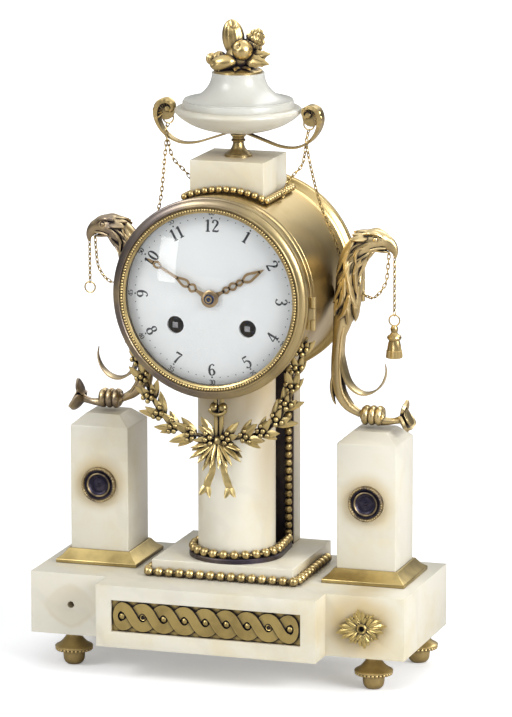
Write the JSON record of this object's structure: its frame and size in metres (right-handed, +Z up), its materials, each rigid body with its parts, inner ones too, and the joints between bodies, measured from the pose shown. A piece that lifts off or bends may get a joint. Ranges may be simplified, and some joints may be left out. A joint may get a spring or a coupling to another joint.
{
  "type": "mantel clock",
  "caption": "White marble and gilt bronze mantel clock: drum on a column between pedestals, eagle supports, garland, urn, opening doors and a geared movement.",
  "frame": {"origin": "centre of the bounding box in plan, on the plane that the feet stand on", "axes": "+Z up, -Y towards the dial's viewer, +X to the viewer's right"},
  "size_m": [0.2426, 0.1166, 0.407],
  "materials": {
    "marble": "satin",
    "gilt_bronze": "satin",
    "patinated_bronze": "satin",
    "movement_brass": "satin",
    "steel": "satin",
    "enamel": "gloss",
    "glass": "polished"
  },
  "bodies": {
    "case": {"base_slab": "marble", "foot_front_left": "gilt_bronze", "foot_front_right": "gilt_bronze", "foot_rear_left": "gilt_bronze", "foot_rear_right": "gilt_bronze", "guilloche_panel": "gilt_bronze", "base_rosette": "gilt_bronze", "pedestal_left": "marble", "pedestal_collar_left": "gilt_bronze", "medallion_left": "patinated_bronze", "pedestal_right": "marble", "pedestal_collar_right": "gilt_bronze", "medallion_right": "patinated_bronze", "column_plinth": "marble", "plinth_beading": "gilt_bronze", "column": "marble", "column_beading": "gilt_bronze", "rear_pier": "marble", "pier_facing": "patinated_bronze", "drum_case": "gilt_bronze", "saddle_beading": "gilt_bronze", "urn_block": "marble", "urn_stem": "gilt_bronze", "urn_handle": "gilt_bronze", "urn_bowl": "marble", "urn_lid": "marble", "fruit_finial": "gilt_bronze", "eagle_left": "gilt_bronze", "eagle_right": "gilt_bronze", "laurel_garland": "gilt_bronze", "chain_left": "gilt_bronze", "chain_right": "gilt_bronze", "dial": "enamel", "front_plate": "movement_brass", "back_plate": "movement_brass", "suspension_cock": "movement_brass", "bell_stand": "steel", "bell": "movement_brass", "strike_barrel": "movement_brass"},
    "front_door": {"front_bezel": "gilt_bronze", "sight_ring": "gilt_bronze", "front_glass": "glass"},
    "rear_door": {"rear_door": "movement_brass"},
    "minute_hand": {"minute_hand": "gilt_bronze", "cannon_pinion": "steel"},
    "hour_hand": {"hour_hand": "gilt_bronze", "hour_wheel": "movement_brass"},
    "minute_wheel": {"minute_wheel": "movement_brass"},
    "going_barrel": {"going_barrel": "movement_brass"},
    "going_arbor": {"going_arbor": "steel"},
    "strike_arbor": {"strike_arbor": "steel"},
    "intermediate_wheel": {"intermediate_wheel": "movement_brass"},
    "centre_wheel": {"centre_wheel": "movement_brass"},
    "third_wheel": {"third_wheel": "movement_brass"},
    "escape_wheel": {"escape_wheel": "movement_brass"},
    "pallets": {"pallets": "steel"},
    "pendulum": {"pendulum": "movement_brass"},
    "hammer": {"hammer": "steel"},
    "pendant_left": {"pendant_left": "gilt_bronze"},
    "pendant_right": {"pendant_right": "gilt_bronze"}
  },
  "joints": [
    {"name": "front_door_hinge", "type": "hinge", "parent": "case", "child": "front_door", "pos_m": [0.0649, -0.0436, 0.2367], "axis": [0, 0, 1], "range_deg": [0, 110]},
    {"name": "rear_door_hinge", "type": "hinge", "parent": "case", "child": "rear_door", "pos_m": [0.0666, 0.0546, 0.2367], "axis": [0, 0, -1], "range_deg": [0, 100]},
    {"name": "minute_hand_turn", "type": "hinge", "parent": "case", "child": "minute_hand", "pos_m": [0, -0.0236, 0.2427], "axis": [0, 1, 0], "continuous": true},
    {"name": "hour_hand_turn", "type": "hinge", "parent": "case", "child": "hour_hand", "pos_m": [0, -0.0236, 0.2427], "axis": [0, 1, 0], "continuous": true},
    {"name": "minute_wheel_turn", "type": "hinge", "parent": "case", "child": "minute_wheel", "pos_m": [0.01559, -0.0236, 0.2517], "axis": [0, 1, 0], "continuous": true},
    {"name": "third_wheel_turn", "type": "hinge", "parent": "case", "child": "third_wheel", "pos_m": [-0.00588, -0.0236, 0.25288], "axis": [0, 1, 0], "continuous": true},
    {"name": "centre_wheel_turn", "type": "hinge", "parent": "case", "child": "centre_wheel", "pos_m": [0, -0.0236, 0.2427], "axis": [0, 1, 0], "continuous": true},
    {"name": "escape_wheel_turn", "type": "hinge", "parent": "case", "child": "escape_wheel", "pos_m": [0, -0.0236, 0.26241], "axis": [0, 1, 0], "continuous": true},
    {"name": "intermediate_wheel_turn", "type": "hinge", "parent": "case", "child": "intermediate_wheel", "pos_m": [0.01377, -0.0236, 0.24526], "axis": [0, 1, 0], "continuous": true},
    {"name": "going_barrel_turn", "type": "hinge", "parent": "case", "child": "going_barrel", "pos_m": [0.0231, -0.0236, 0.2249], "axis": [0, 1, 0], "continuous": true},
    {"name": "going_winding", "type": "hinge", "parent": "case", "child": "going_arbor", "pos_m": [0.0231, -0.0236, 0.2249], "axis": [0, 1, 0], "range_deg": [0, 2880]},
    {"name": "strike_winding", "type": "hinge", "parent": "case", "child": "strike_arbor", "pos_m": [-0.0231, -0.0236, 0.2249], "axis": [0, 1, 0], "range_deg": [0, 2880]},
    {"name": "pendulum_swing", "type": "hinge", "parent": "case", "child": "pendulum", "pos_m": [0, 0.035, 0.27491], "axis": [0, 1, 0], "range_deg": [-3, 3]},
    {"name": "pallets_rock", "type": "hinge", "parent": "case", "child": "pallets", "pos_m": [0, -0.0236, 0.27491], "axis": [0, 1, 0], "range_deg": [-3, 3]},
    {"name": "hammer_swing", "type": "hinge", "parent": "case", "child": "hammer", "pos_m": [0.038, -0.0236, 0.2207], "axis": [0, 1, 0], "range_deg": [0, 12], "stiffness_Nm_per_rad": 0.01, "springref_deg": -5.73},
    {"name": "left_pendant_swing", "type": "hinge", "parent": "case", "child": "pendant_left", "pos_m": [-0.0992, 0.0144, 0.2664], "axis": [1, 0, 0], "range_deg": [-25, 25]},
    {"name": "right_pendant_swing", "type": "hinge", "parent": "case", "child": "pendant_right", "pos_m": [0.0992, 0.0144, 0.2664], "axis": [1, 0, 0], "range_deg": [-25, 25]}
  ],
  "couplings": [
    {"joint": "hour_hand_turn", "follows": "minute_hand_turn", "ratio": 0.083333},
    {"joint": "minute_wheel_turn", "follows": "minute_hand_turn", "ratio": -0.33333},
    {"joint": "centre_wheel_turn", "follows": "third_wheel_turn", "ratio": -0.2},
    {"joint": "escape_wheel_turn", "follows": "third_wheel_turn", "ratio": -5},
    {"joint": "intermediate_wheel_turn", "follows": "third_wheel_turn", "ratio": 0.04},
    {"joint": "going_barrel_turn", "follows": "third_wheel_turn", "ratio": -0.008},
    {"joint": "pallets_rock", "follows": "pendulum_swing", "ratio": 1}
  ]
}
